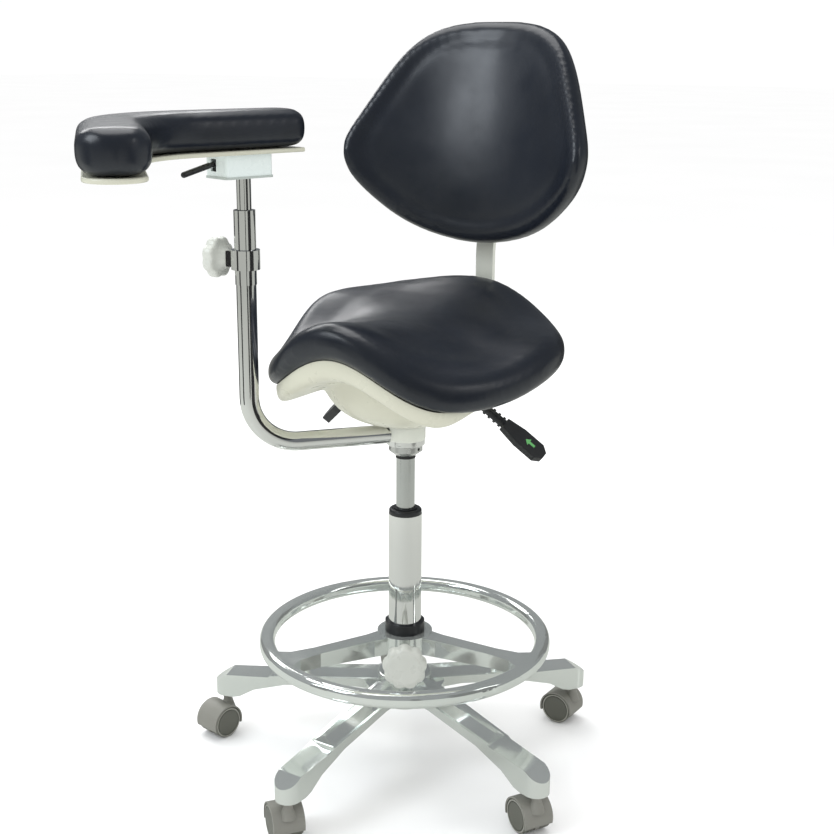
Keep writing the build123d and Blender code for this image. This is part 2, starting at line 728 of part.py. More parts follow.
# ---------------------------------------------------------------- write every node
NODES = {
    "star_base": star_base, "caster_stems": caster_stems, "column_tube": column_tube, "guide_bush": guide_bush,
    "thrust_bearing": thrust_bearing, "foot_ring": foot_ring, "ring_bush": ring_bush, "ring_knob": ring_knob,
    "ring_knob_screw": ring_knob_screw, "piston_rod": piston_rod, "retaining_clip": retaining_clip,
    "gas_cylinder": gas_cylinder, "release_pin": release_pin, "lock_collar": lock_collar,
    "collar_set_screws": collar_set_screws, "rod_wiper": rod_wiper, "seat_cushion": seat_cushion,
    "seat_board": seat_board, "seat_shell": seat_shell, "seat_mechanism": seat_mechanism,
    "seat_bolts": seat_bolts, "backrest_cushion": backrest_cushion, "backrest_shell": backrest_shell,
    "back_bar": back_bar, "backrest_screws": backrest_screws, "back_hinge_pin": back_hinge_pin,
    "arm_tube": arm_tube, "arm_hub_bush": arm_hub_bush, "arm_hub_screw": arm_hub_screw,
    "arm_sleeve": arm_sleeve, "arm_clamp": arm_clamp, "arm_knob": arm_knob, "arm_knob_screw": arm_knob_screw,
    "arm_post": arm_post, "arm_head": arm_head, "arm_head_base": arm_head_base, "head_lever": head_lever,
    "arm_pad": arm_pad, "pad_plate": pad_plate,
}

for name, build in NODES.items():
    save(Pos(0, 0, DATUM) * build(), name)

for side_name, mirrored in (("height", 0), ("tilt", 1)):
    save(Pos(0, 0, DATUM) * lever_rod(mirrored), f"{side_name}_lever_rod")
    save(Pos(0, 0, DATUM) * lever_handle(mirrored), f"{side_name}_lever_handle")

for number in range(5):
    place = caster_place(number)
    save(place * caster_housing(), f"caster_{number + 1}_housing")
    save(place * caster_wheel(1), f"caster_{number + 1}_wheel_left")
    save(place * caster_wheel(-1), f"caster_{number + 1}_wheel_right")
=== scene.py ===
import math
import bmesh
import bpy
import numpy as np
from mathutils import Matrix, Vector


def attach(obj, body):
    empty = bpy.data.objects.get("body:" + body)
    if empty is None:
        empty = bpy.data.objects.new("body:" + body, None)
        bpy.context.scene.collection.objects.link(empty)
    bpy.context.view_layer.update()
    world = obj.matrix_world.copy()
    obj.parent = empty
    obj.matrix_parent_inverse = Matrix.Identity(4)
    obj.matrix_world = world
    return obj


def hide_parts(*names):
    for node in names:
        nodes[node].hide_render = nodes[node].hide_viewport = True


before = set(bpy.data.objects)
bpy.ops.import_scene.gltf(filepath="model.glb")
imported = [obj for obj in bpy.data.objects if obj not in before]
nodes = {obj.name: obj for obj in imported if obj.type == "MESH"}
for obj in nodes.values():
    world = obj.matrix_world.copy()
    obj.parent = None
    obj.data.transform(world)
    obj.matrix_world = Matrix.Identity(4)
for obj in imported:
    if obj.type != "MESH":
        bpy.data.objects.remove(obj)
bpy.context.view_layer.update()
scene = bpy.context.scene
MM = 0.001


# ---------------------------------------------------------------- camera
STOOL_TURN = math.radians(33)
CAMERA_DISTANCE, CAMERA_HEIGHT, CAMERA_LENS = 1.9, 1.0716, 57.86
CAMERA_YAW, CAMERA_ROLL, CAMERA_PITCH = 0.008626, 0.007133, 0.268626


def make_camera():
    """Camera 1.9 m from the column and 1.07 m up, with the stool turned 33 degrees to it."""
    yaw, roll, pitch = CAMERA_YAW, CAMERA_ROLL, CAMERA_PITCH
    level = Vector((math.sin(yaw), math.cos(yaw), 0))
    right = Vector((math.cos(yaw), -math.sin(yaw), 0))
    ahead = math.cos(pitch) * level - math.sin(pitch) * Vector((0, 0, 1))
    up = math.sin(pitch) * level + math.cos(pitch) * Vector((0, 0, 1))
    x = math.cos(roll) * right + math.sin(roll) * up
    y = math.cos(roll) * up - math.sin(roll) * right
    basis = Matrix((x, y, -ahead)).transposed().to_4x4()
    turn = Matrix.Rotation(STOOL_TURN, 4, "Z")
    data = bpy.data.cameras.new("camera")
    data.sensor_width = 36
    data.lens = CAMERA_LENS
    data.clip_end = 200
    cam = bpy.data.objects.new("camera", data)
    scene.collection.objects.link(cam)
    cam.matrix_world = turn @ Matrix.Translation((0, -CAMERA_DISTANCE, CAMERA_HEIGHT)) @ basis
    scene.camera = cam


make_camera()
scene.view_settings.view_transform = "Standard"


# ---------------------------------------------------------------- materials
class Nodes:
    """Small helper for building a node tree."""

    def __init__(self, name):
        self.mat = bpy.data.materials.new(name)
        self.mat.use_nodes = True
        self.tree = self.mat.node_tree
        self.shader = self.tree.nodes["Principled BSDF"]
        self.coord = self.tree.nodes.new("ShaderNodeTexCoord").outputs["Object"]

    def set(self, **values):
        for key, value in values.items():
            self.shader.inputs[key.replace("_", " ")].default_value = value

    def add(self, kind, **values):
        node = self.tree.nodes.new(kind)
        for key, value in values.items():
            setattr(node, key, value)
        return node

    def link(self, a, b):
        self.tree.links.new(a, b)

    def noise(self, scale, detail=3.0, stretch=None):
        node = self.add("ShaderNodeTexNoise")
        node.inputs["Scale"].default_value = scale
        node.inputs["Detail"].default_value = detail
        source = self.coord
        if stretch:
            mapping = self.add("ShaderNodeMapping")
            mapping.inputs["Scale"].default_value = stretch
            self.link(self.coord, mapping.inputs["Vector"])
            source = mapping.outputs["Vector"]
        self.link(source, node.inputs["Vector"])
        return node.outputs["Fac"]

    def cells(self, scale, feature="DISTANCE_TO_EDGE"):
        node = self.add("ShaderNodeTexVoronoi", feature=feature)
        node.inputs["Scale"].default_value = scale
        self.link(self.coord, node.inputs["Vector"])
        return node.outputs["Distance"]

    def remap(self, value, low, high, start=0.0, end=1.0):
        node = self.add("ShaderNodeMapRange")
        node.inputs["From Min"].default_value = start
        node.inputs["From Max"].default_value = end
        node.inputs["To Min"].default_value = low
        node.inputs["To Max"].default_value = high
        self.link(value, node.inputs["Value"])
        return node.outputs["Result"]

    def ramp(self, value, dark, light, start=0.3, end=0.7):
        node = self.add("ShaderNodeValToRGB")
        node.color_ramp.elements[0].position = start
        node.color_ramp.elements[0].color = (*dark, 1)
        node.color_ramp.elements[1].position = end
        node.color_ramp.elements[1].color = (*light, 1)
        self.link(value, node.inputs["Fac"])
        return node.outputs["Color"]

    def bump(self, height, distance, strength=1.0, under=None):
        node = self.add("ShaderNodeBump")
        node.inputs["Distance"].default_value = distance
        node.inputs["Strength"].default_value = strength
        self.link(height, node.inputs["Height"])
        if under:
            self.link(under, node.inputs["Normal"])
        return node.outputs["Normal"]


def leather():
    n = Nodes("leather_black")
    n.set(Specular_IOR_Level=0.5, Coat_Weight=0.22, Coat_Roughness=0.22)
    tone = n.ramp(n.noise(9, 4), (0.0060, 0.0088, 0.0150), (0.0090, 0.0124, 0.0200))
    n.link(tone, n.shader.inputs["Base Color"])
    n.link(n.remap(n.noise(26, 5), 0.28, 0.39, 0.3, 0.7), n.shader.inputs["Roughness"])
    grain = n.bump(n.cells(620), 0.00022, 0.30)
    fine = n.bump(n.noise(1500, 2), 0.00008, 0.25, grain)
    soft = n.bump(n.noise(24, 2), 0.0012, 0.22, fine)
    n.link(soft, n.shader.inputs["Normal"])
    return n.mat


def moulded(name, dark, light, rough, coat=0.0, grain=0.0, scale=900):
    """Moulded plastic: faint colour drift, slightly uneven gloss, and an optional spark-eroded grain."""
    n = Nodes(name)
    n.set(Specular_IOR_Level=0.5, Coat_Weight=coat, Coat_Roughness=0.12)
    n.link(n.ramp(n.noise(7, 3), dark, light), n.shader.inputs["Base Color"])
    n.link(n.remap(n.noise(40, 4), rough - 0.05, rough + 0.07, 0.3, 0.7), n.shader.inputs["Roughness"])
    normal = n.bump(n.noise(18, 2), 0.0006, 0.15)
    if grain:
        normal = n.bump(n.noise(scale, 3), 0.0001, grain, normal)
    n.link(normal, n.shader.inputs["Normal"])
    return n.mat


def metal(name, dark, light, low, high, scale=30, stretch=None, bump=0.05, wave=0.0, metallic=1.0):
    """Metal with polishing marks, drawn out along one axis by stretch. Roughness runs from low to high."""
    n = Nodes(name)
    n.set(Metallic=metallic)
    n.link(n.ramp(n.noise(6, 3), dark, light), n.shader.inputs["Base Color"])
    n.link(n.remap(n.noise(scale, 5, stretch), low, high, 0.3, 0.7), n.shader.inputs["Roughness"])
    normal = n.bump(n.noise(scale * 12, 2, stretch), 0.00004, bump)
    if wave:
        normal = n.bump(n.noise(14, 1), 0.0012, wave, normal)
    n.link(normal, n.shader.inputs["Normal"])
    return n.mat


LEATHER = leather()
IVORY = moulded("plastic_ivory", (0.52, 0.52, 0.42), (0.57, 0.57, 0.465), 0.30, coat=0.15)
KNOB = moulded("plastic_knob", (0.52, 0.535, 0.49), (0.57, 0.585, 0.54), 0.28, coat=0.1)
PALE = moulded("plastic_pale", (0.70, 0.78, 0.76), (0.75, 0.82, 0.80), 0.26, coat=0.15)
PALE_BASE = moulded("plastic_grey_base", (0.40, 0.45, 0.42), (0.45, 0.50, 0.47), 0.35)
HOOD = moulded("plastic_hood", (0.205, 0.203, 0.178), (0.24, 0.238, 0.21), 0.42, grain=0.35)
DISC = moulded("plastic_wheel_disc", (0.105, 0.107, 0.088), (0.13, 0.132, 0.11), 0.38, grain=0.3)
RIM = moulded("plastic_wheel_rim", (0.30, 0.30, 0.26), (0.34, 0.34, 0.30), 0.36)
BLACK = moulded("plastic_black", (0.010, 0.011, 0.012), (0.018, 0.019, 0.021), 0.34, grain=0.4)
RUBBER = moulded("rubber_black", (0.010, 0.010, 0.010), (0.016, 0.016, 0.016), 0.55, grain=0.5, scale=600)
BOARD = moulded("board_dark", (0.05, 0.05, 0.05), (0.07, 0.07, 0.07), 0.6, grain=0.3)
PAINT = moulded("paint_cream", (0.60, 0.62, 0.55), (0.65, 0.67, 0.60), 0.36, coat=0.1, grain=0.15)
MARK = moulded("mark_green", (0.10, 0.42, 0.12), (0.16, 0.52, 0.16), 0.4)
CHROME = metal("chrome", (0.80, 0.81, 0.80), (0.88, 0.88, 0.87), 0.04, 0.10)
POLISHED = metal("aluminium_polished", (0.73, 0.77, 0.74), (0.83, 0.86, 0.83), 0.05, 0.13,
                 wave=0.07, metallic=0.8)
STEEL = metal("steel_brushed", (0.50, 0.51, 0.51), (0.60, 0.61, 0.61), 0.24, 0.38,
              scale=40, stretch=(1, 1, 0.05))
SATIN = metal("steel_satin", (0.62, 0.63, 0.62), (0.70, 0.70, 0.69), 0.20, 0.32)
GREY_CHROME = metal("chrome_hard", (0.52, 0.54, 0.53), (0.60, 0.61, 0.60), 0.12, 0.20)

MATERIAL_OF = {
    "star_base": POLISHED, "foot_ring": POLISHED, "caster_stems": SATIN, "column_tube": CHROME,
    "guide_bush": BLACK, "thrust_bearing": STEEL, "ring_bush": BLACK, "ring_knob": KNOB,
    "ring_knob_screw": STEEL, "piston_rod": STEEL, "retaining_clip": STEEL, "gas_cylinder": GREY_CHROME,
    "release_pin": STEEL, "lock_collar": SATIN, "collar_set_screws": BLACK, "rod_wiper": RUBBER,
    "seat_board": BOARD, "seat_shell": IVORY, "seat_mechanism": STEEL, "seat_bolts": STEEL,
    "backrest_shell": IVORY, "back_bar": PAINT, "backrest_screws": STEEL, "back_hinge_pin": STEEL,
    "arm_tube": CHROME, "arm_hub_bush": BLACK, "arm_hub_screw": BLACK, "arm_sleeve": CHROME,
    "arm_clamp": CHROME, "arm_knob": KNOB, "arm_knob_screw": STEEL, "arm_post": CHROME, "arm_head": PALE,
    "arm_head_base": PALE_BASE, "head_lever": BLACK, "pad_plate": IVORY, "height_lever_rod": STEEL,
    "height_lever_handle": BLACK, "tilt_lever_rod": STEEL, "tilt_lever_handle": BLACK,
    "seat_cushion": LEATHER, "backrest_cushion": LEATHER, "arm_pad": LEATHER,
}
for number in range(1, 6):
    MATERIAL_OF[f"caster_{number}_housing"] = HOOD
    MATERIAL_OF[f"caster_{number}_wheel_left"] = DISC
    MATERIAL_OF[f"caster_{number}_wheel_right"] = DISC
for name, material in MATERIAL_OF.items():
    nodes[name].data.materials.clear()
    nodes[name].data.materials.append(material)


# ---------------------------------------------------------------- mesh helpers
def new_object(name, verts, faces, material, smooth=True):
    mesh = bpy.data.meshes.new(name)
    mesh.from_pydata([tuple(v) for v in verts], [], faces)
    mesh.materials.append(material)
    if smooth:
        mesh.shade_smooth()
    obj = bpy.data.objects.new(name, mesh)
    scene.collection.objects.link(obj)
    return obj


def ring_surface(name, rings, material, cap_start=True, cap_end=True):
    """Closed skin over a list of rings that all have the same number of points."""
    count = len(rings[0])
    verts = [p for ring in rings for p in ring]
    faces = []
    for k in range(len(rings) - 1):
        for i in range(count):
            j = (i + 1) % count
            faces.append((k * count + i, k * count + j, (k + 1) * count + j, (k + 1) * count + i))
    if cap_start:
        verts.append(np.mean(rings[0], axis=0))
        faces += [((i + 1) % count, i, len(verts) - 1) for i in range(count)]
    if cap_end:
        base = (len(rings) - 1) * count
        verts.append(np.mean(rings[-1], axis=0))
        faces += [(base + i, base + (i + 1) % count, len(verts) - 1) for i in range(count)]
    obj = new_object(name, verts, faces, material)
    fix_normals(obj)
    return obj


def fix_normals(obj):
    bm = bmesh.new()
    bm.from_mesh(obj.data)
    bmesh.ops.recalc_face_normals(bm, faces=bm.faces)
    bm.to_mesh(obj.data)
    bm.free()


def closed_curve(points, count):
    """Smooth closed curve through points: a periodic cubic spline, sampled evenly in its parameter."""
    p = np.array(points, float)
    n = len(p)
    step = np.hypot(*(np.roll(p, -1, axis=0) - p).T)
    matrix = np.zeros((n, n))
    right = np.zeros((n, 2))
    for i in range(n):
        before = step[i - 1]
        after = step[i]
        matrix[i, i - 1] += before
        matrix[i, i] += 2 * (before + after)
        matrix[i, (i + 1) % n] += after
        right[i] = 6 * ((p[(i + 1) % n] - p[i]) / after - (p[i] - p[i - 1]) / before)
    second = np.linalg.solve(matrix, right)
    knots = np.concatenate([[0], np.cumsum(step)])
    out = []
    for t in np.linspace(0, knots[-1], count, endpoint=False):
        i = min(int(np.searchsorted(knots, t, side="right")) - 1, n - 1)
        h = step[i]
        a = (knots[i + 1] - t) / h
        b = (t - knots[i]) / h
        j = (i + 1) % n
        out.append(a * p[i] + b * p[j] + ((a ** 3 - a) * second[i] + (b ** 3 - b) * second[j]) * h * h / 6)
    return np.array(out)


def mirrored_outline(right, low, high, count):
    points = [(0, low)] + right + [(0, high)] + [(-x, y) for x, y in reversed(right)]
    return closed_curve(points, count)


def modifier(obj, kind, **values):
    mod = obj.modifiers.new(kind.lower(), kind)
    for key, value in values.items():
        setattr(mod, key, value)
    return mod


def apply_all(obj):
    """Replace the object's mesh by its evaluated one and drop the modifiers."""
    graph = bpy.context.evaluated_depsgraph_get()
    mesh = bpy.data.meshes.new_from_object(obj.evaluated_get(graph))
    obj.modifiers.clear()
    obj.data = mesh
    obj.data.shade_smooth()


def get_points(obj):
    data = np.empty(len(obj.data.vertices) * 3)
    obj.data.vertices.foreach_get("co", data)
    return data.reshape(-1, 3)


def even_out(obj, field, passes):
    """Average a vector per vertex over its neighbours, so that the skin swells without creases."""
    ends = np.empty(len(obj.data.edges) * 2, np.int32)
    obj.data.edges.foreach_get("vertices", ends)
    a, b = ends[0::2], ends[1::2]
    count = len(field)
    shared = np.bincount(a, minlength=count) + np.bincount(b, minlength=count)
    for _ in range(passes):
        for axis in range(3):
            value = field[:, axis]
            total = np.bincount(a, value[b], count) + np.bincount(b, value[a], count)
            field[:, axis] = 0.4 * value + 0.6 * total / np.maximum(shared, 1)
    return field


VOXEL, PRESSURE, FRAMES, EVEN_PASSES = 0.005, 4.0, 20, 120


def inflate(obj, voxel, pressure, cap, hold):
    """Stuffed leather: remesh, swell the skin with air pressure, cap the swell and even it out.

    hold(points) gives 1 where the skin is fixed to its board and 0 where it is free."""
    modifier(obj, "REMESH", mode="VOXEL", voxel_size=voxel)
    apply_all(obj)
    rest = get_points(obj)
    pinned = obj.vertex_groups.new(name="pinned")
    weight = hold(rest)
    for i in np.nonzero(weight > 0)[0]:
        pinned.add([int(i)], float(weight[i]), "REPLACE")
    cloth = modifier(obj, "CLOTH")
    cloth.settings.quality = 4
    cloth.settings.mass = 0.4
    cloth.settings.tension_stiffness = 25
    cloth.settings.compression_stiffness = 25
    cloth.settings.bending_stiffness = 20
    cloth.settings.use_pressure = True
    cloth.settings.uniform_pressure_force = pressure
    cloth.settings.vertex_group_mass = "pinned"
    cloth.settings.effector_weights.gravity = 0
    cloth.point_cache.frame_start = 1
    cloth.point_cache.frame_end = FRAMES
    for f in range(1, FRAMES + 1):
        scene.frame_set(f)
    apply_all(obj)
    scene.frame_set(1)
    moved = get_points(obj) - rest
    length = np.linalg.norm(moved, axis=1, keepdims=True)
    moved *= np.minimum(1, cap / np.maximum(length, 1e-9))
    moved = even_out(obj, moved, EVEN_PASSES)
    obj.data.vertices.foreach_set("co", (rest + moved).ravel())
    obj.vertex_groups.clear()
    modifier(obj, "SMOOTH", factor=0.5, iterations=4)
    modifier(obj, "SUBSURF", levels=1, render_levels=1)
    apply_all(obj)


# ---------------------------------------------------------------- seat surface, in millimetres
DATUM = -16
FOAM = 56
RIDGE_HALF_W = 178
LEAN_LEFT, LEAN_RIGHT = 0.095, 0.055
SEAT_RIGHT = [(72, -189), (132, -157), (174, -98), (204, -15), (214, 70), (196, 138), (150, 183), (80, 205)]


def saddle(x, y):
    """Height of the cushion's underside. Towards the rear it leans up at the left and down at the right."""
    side = 609 + 42 / (1 + np.exp(-(y - 12) / 36)) + 4 * (np.maximum(y, 0) / 180) ** 2
    centre = 657 + 40 * (np.maximum(y, 0) / 200) ** 2 + 25 * (np.maximum(-y, 0) / 190) ** 1.3
    half_width = RIDGE_HALF_W + 40 * np.clip(y / 150, 0, 1)
    ridge = np.cos(np.radians(90 * np.minimum(np.abs(x) / half_width, 1))) ** 2
    lean = np.where(x < 0, LEAN_LEFT, LEAN_RIGHT)
    reach = np.clip((y + 110) / 190, 0, 1)
    pull = -lean * x * reach * reach * (3 - 2 * reach) * np.clip(np.abs(x) / 120, 0, 1)
    return side + (centre - side) * ridge + pull + DATUM


def edge_profile(thick, radius, steps):
    """(inset, height) from the flat top round the edge to the flat bottom."""
    out = []
    for k in range(steps + 1):
        a = math.pi * k / steps
        lift = math.cos(a)
        height = thick / 2 + thick / 2 * np.sign(lift) * abs(lift) ** 0.85
        out.append((radius * (1 - math.sin(a) ** 0.9), height))
    return out


def seat_cushion():
    outline = mirrored_outline(SEAT_RIGHT, -197, 210, 144)
    corner = np.exp(-((outline[:, 0] - 170) / 60) ** 2 - ((outline[:, 1] - 150) / 70) ** 2)
    outline = outline - 8 * corner[:, None] * np.array([0.8, 0.6])
    middle = np.array([0, 6.5])
    away = outline - middle
    reach = np.hypot(*away.T)
    radius = 30
    rings = []

    def ring(scale, height):
        p = middle + away * scale[:, None]
        z = saddle(p[:, 0], p[:, 1]) + height
        return np.column_stack([p, z]) * MM

    start = 1 - radius / reach
    for s in np.linspace(0.06, 1, 16):
        inside = np.clip((s - 0.70) / 0.22, 0, 1)
        rim = 3.5 * inside * inside * (3 - 2 * inside)
        rings.append(ring(start * s, FOAM - 5 + rim))
    for inset, height in edge_profile(FOAM - 1.5, radius, 16)[1:]:
        rings.append(ring(1 - (inset + 1.5) / reach, height))
    for s in np.linspace(0.9, 0.08, 8):
        rings.append(ring(start * s, 0))
    return ring_surface("seat_leather", rings, LEATHER)


def board_side(p):
    """1 near the underside of the saddle."""
    return (p[:, 2] * 1000 - saddle(p[:, 0] * 1000, p[:, 1] * 1000) < 7).astype(float)


cushion = seat_cushion()
inflate(cushion, VOXEL, PRESSURE, 0.0045, board_side)
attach(cushion, "seat")
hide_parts("seat_cushion")


# ---------------------------------------------------------------- moulded cover under the seat
def cut(obj, place, size):
    """Square hole through a piece."""
    x, y, z = (np.array(size) / 2 * MM)
    corners = [(sx * x, sy * y, sz * z) for sx in (-1, 1) for sy in (-1, 1) for sz in (-1, 1)]
    faces = [(0, 1, 3, 2), (4, 6, 7, 5), (0, 4, 5, 1), (2, 3, 7, 6), (0, 2, 6, 4), (1, 5, 7, 3)]
    tool = new_object("cutter", corners, faces, IVORY, smooth=False)
    tool.matrix_world = place
    modifier(obj, "BOOLEAN", operation="DIFFERENCE", object=tool, solver="EXACT")
    bpy.context.view_layer.update()
    apply_all(obj)
    bpy.data.objects.remove(tool)


def seat_cover():
    outline = mirrored_outline(SEAT_RIGHT, -197, 210, 144)
    middle = np.array([0, 6.5])
    away = outline - middle
    reach = np.hypot(*away.T)
    angle = np.arctan2(away[:, 1], away[:, 0])
    rings = []
    apart = np.abs(np.degrees(np.arctan2(away[:, 0], -away[:, 1])))
    front = np.clip((74 - apart) / 34, 0, 1)
    front = front * front * (3 - 2 * front)
    first = 42 - 28 * front
    depth = 13 + 14 * front
    lip = [(0, -0.1), (-0.5, 0.07), (0, 0.32), (1.5, 0.57), (4, 0.77), (9, 0.91), (16, 0.98), (24, 1)]
    for inset, drop in lip:
        p = middle + away * (1 - (first + inset) / reach)[:, None]
        rings.append(np.column_stack([p, saddle(p[:, 0], p[:, 1]) - drop * depth]) * MM)
    rim = middle + away * (1 - (first + 24) / reach)[:, None]

    def oval(a, b, y):
        return np.column_stack([a * np.cos(angle), y + b * np.sin(angle)])

    top = oval(118, 134, 6)
    for t in (0.3, 0.6, 0.85):
        p = rim * (1 - t) + top * t
        rings.append(np.column_stack([p, saddle(p[:, 0], p[:, 1]) - depth - 2 * t]) * MM)
    shoulder = saddle(top[:, 0], top[:, 1]) - depth - 2.5
    rings.append(np.column_stack([top, shoulder]) * MM)
    for a, b, y, z in [(115, 131, 6, 0.22), (112, 128, 6, 0.5), (108, 124, 5, 0.78)]:
        p = oval(a, b, y)
        level = shoulder * (1 - z) + (594 + DATUM) * z
        rings.append(np.column_stack([p, level]) * MM)
    funnel = [(101, 115, 5, 588), (88, 99, 4, 577), (70, 78, 2, 568), (52, 55, 1, 561.5), (40, 41, 0, 558),
              (31.5, 31.5, 0, 555.8)]
    for a, b, y, z in funnel:
        p = oval(a, b, y)
        rings.append(np.column_stack([p, np.full(len(p), z + DATUM)]) * MM)
    cover = ring_surface("seat_cover_moulding", rings, IVORY, cap_start=False, cap_end=False)
    modifier(cover, "SUBSURF", levels=1, render_levels=1)
    modifier(cover, "SOLIDIFY", thickness=0.0028, offset=-1)
    apply_all(cover)
    bar_slot = Matrix.Translation(Vector((0, 130, 612 + DATUM)) * MM)
    cut(cover, bar_slot, (38, 150, 54))
    for heading in (19, 161):
        turn = Matrix.Rotation(math.radians(heading), 4, "Z")
        slot = turn @ Matrix.Translation(Vector((108, 0, 597 + DATUM)) * MM)
        cut(cover, slot, (76, 20, 56))
    sharp = math.radians(50)
    modifier(cover, "BEVEL", width=0.0008, segments=2, limit_method="ANGLE", angle_limit=sharp)
    apply_all(cover)
    return cover


cover = seat_cover()
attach(cover, "seat")
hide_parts("seat_shell")


# ---------------------------------------------------------------- backrest
BACK_R = 310
BACK_FRAME = Matrix.Translation((0, 0.223, 0.935 + DATUM * MM)) @ Matrix.Rotation(math.radians(-12.1), 4, "X")
BACK_RIGHT = [(60, -137), (122, -117), (170, -84), (199, -50), (207, -10), (195, 30), (174, 80), (149, 130),
              (118, 168), (68, 192)]


def in_frame(matrix, points):
    m = np.array(matrix)
    return points @ m[:3, :3].T + m[:3, 3]


def wrapped(x, depth):
    """Distance behind the flat plane of a point on the curved backrest."""
    return -BACK_R + np.sqrt((BACK_R + depth) ** 2 - x ** 2)


def backrest_cushion():
    outline = mirrored_outline(BACK_RIGHT, -143, 198, 132)
    middle = np.array([0, 15.0])
    away = outline - middle
    reach = np.hypot(*away.T)
    radius = 22
    thick = 44
    rings = []

    def ring(scale, depth):
        p = middle + away * scale[:, None]
        return in_frame(BACK_FRAME, np.column_stack([p[:, 0], wrapped(p[:, 0], depth), p[:, 1]]) * MM)

    start = 1 - (radius + 3) / reach
    for s in np.linspace(0.06, 1, 16):
        groove = 1.6 * math.exp(-((s - 0.93) / 0.035) ** 2)
        crown = 5.5 * (1 - s * s)
        rings.append(ring(start * s, -23.5 - crown + groove))
    for inset, height in edge_profile(thick - 2, radius, 16)[1:]:
        rings.append(ring(1 - (inset + 3) / reach, 18 - height))
    for s in np.linspace(0.9, 0.08, 8):
        rings.append(ring(start * s, 18))
    return ring_surface("backrest_leather", rings, LEATHER)


def backing_side(p):
    """1 near the rear skin of the backrest."""
    local = in_frame(BACK_FRAME.inverted(), p) * 1000
    depth = np.hypot(local[:, 0], local[:, 1] + BACK_R) - BACK_R
    return (depth > 11).astype(float)


back = backrest_cushion()
inflate(back, VOXEL, PRESSURE, 0.004, backing_side)
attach(back, "back")
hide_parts("backrest_cushion")


# ---------------------------------------------------------------- arm pad
POST = Vector((231 * math.cos(math.radians(230)), 231 * math.sin(math.radians(230)), 0)) * MM
HEAD_FRAME = Matrix.Translation(POST) @ Matrix.Rotation(math.radians(256), 4, "Z")
PAD_LOW = 956 + DATUM
PAD_W, PAD_T, PAD_REAR, PAD_FRONT, PAD_ARC, PAD_TURN, PAD_TIP = 84, 55, 87, 92.5, 190, math.radians(60), 168


def pad_station(s):
    """Centre and direction of the pad's centreline at a distance from its rear end."""
    s = s - PAD_REAR
    if s < PAD_FRONT:
        return np.array([s, 0.0]), 0.0
    a = (s - PAD_FRONT) / PAD_ARC
    if a < PAD_TURN:
        return np.array([PAD_FRONT + PAD_ARC * math.sin(a), PAD_ARC * (1 - math.cos(a))]), a
    extra = s - PAD_FRONT - PAD_ARC * PAD_TURN
    bend = np.array([PAD_FRONT + PAD_ARC * math.sin(PAD_TURN), PAD_ARC * (1 - math.cos(PAD_TURN))])
    return bend + extra * np.array([math.cos(PAD_TURN), math.sin(PAD_TURN)]), PAD_TURN


PAD_LENGTH = PAD_REAR + PAD_FRONT + PAD_ARC * PAD_TURN + PAD_TIP + PAD_W / 2


def pad_section(half_w, half_h, power, count=40):
    a = np.linspace(0, 2 * math.pi, count, endpoint=False)
    c, s = np.cos(a), np.sin(a)
    across = half_w * np.sign(c) * np.abs(c) ** (2 / power)
    up = half_h * np.sign(s) * np.abs(s) ** (2 / power)
    return np.column_stack([across, up])


def pad_rings(width, low, high, rear_r, rear_cut, power, shrink, tip_h):
    """Rings of a J-shaped form, square at the rear with rounded corners and fully round at its tip."""
    total = PAD_LENGTH - shrink
    half_w = width / 2
    half_h = (high - low) / 2
    rings = []
    plan = []
    for a in np.linspace(0.08, math.pi / 2, 8):
        edge = rear_r * (1 - math.sin(a))
        plan.append((rear_cut + rear_r * (1 - math.cos(a)), half_w - edge, half_h - edge * 0.9))
    for s in np.linspace(rear_cut + rear_r, total - half_w, 34)[1:]:
        plan.append((s, half_w, half_h))
    for a in np.linspace(0, math.pi / 2 - 0.06, 12)[1:]:
        s = total - half_w + half_w * math.sin(a)
        over = max(0.0, math.sin(a) * half_w - (half_w - tip_h))
        drop = tip_h - math.sqrt(max(tip_h ** 2 - over ** 2, 0))
        plan.append((s, half_w * math.cos(a), half_h - drop * 0.85))
    for s, w, h in plan:
        centre, angle = pad_station(s)
        section = pad_section(w, max(h, 2), power)
        side = np.array([-math.sin(angle), math.cos(angle)])
        xy = centre + section[:, :1] * side
        z = (low + high) / 2 + section[:, 1]
        rings.append(in_frame(HEAD_FRAME, np.column_stack([xy, z]) * MM))
    return rings


def arm_pad():
    rings = pad_rings(PAD_W - 4, PAD_LOW + 0.5, PAD_LOW + PAD_T - 3, 18, 2, 3.4, 2, 24)
    return ring_surface("arm_pad_leather", rings, LEATHER)


pad = arm_pad()
inflate(pad, VOXEL, PRESSURE, 0.0035, lambda p: (p[:, 2] * 1000 < PAD_LOW + 6).astype(float))
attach(pad, "head")
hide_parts("arm_pad")


# ---------------------------------------------------------------- turned pieces
def turned(name, place, profile, material, lobes=0, count=96):
    """Turned piece on the +Z axis of a frame; profile rows are (radius, height, depth of the lobes)."""
    theta = np.linspace(0, 2 * math.pi, count, endpoint=False)
    rings = []
    for r, z, w in profile:
        radius = r * (1 - w * (0.5 + 0.5 * np.cos(lobes * theta)) ** 1.6)
        ring = np.column_stack([radius * np.cos(theta), radius * np.sin(theta), np.full(count, z)])
        rings.append(in_frame(place, ring * MM))
    piece = ring_surface(name, rings, material)
    modifier(piece, "SUBSURF", levels=1, render_levels=1)
    apply_all(piece)
    return piece


def along(origin, heading):
    """Frame with +Z level along a heading."""
    turn = Matrix.Rotation(math.radians(heading), 4, "Z")
    return Matrix.Translation(origin) @ turn @ Matrix.Rotation(math.pi / 2, 4, "Y")


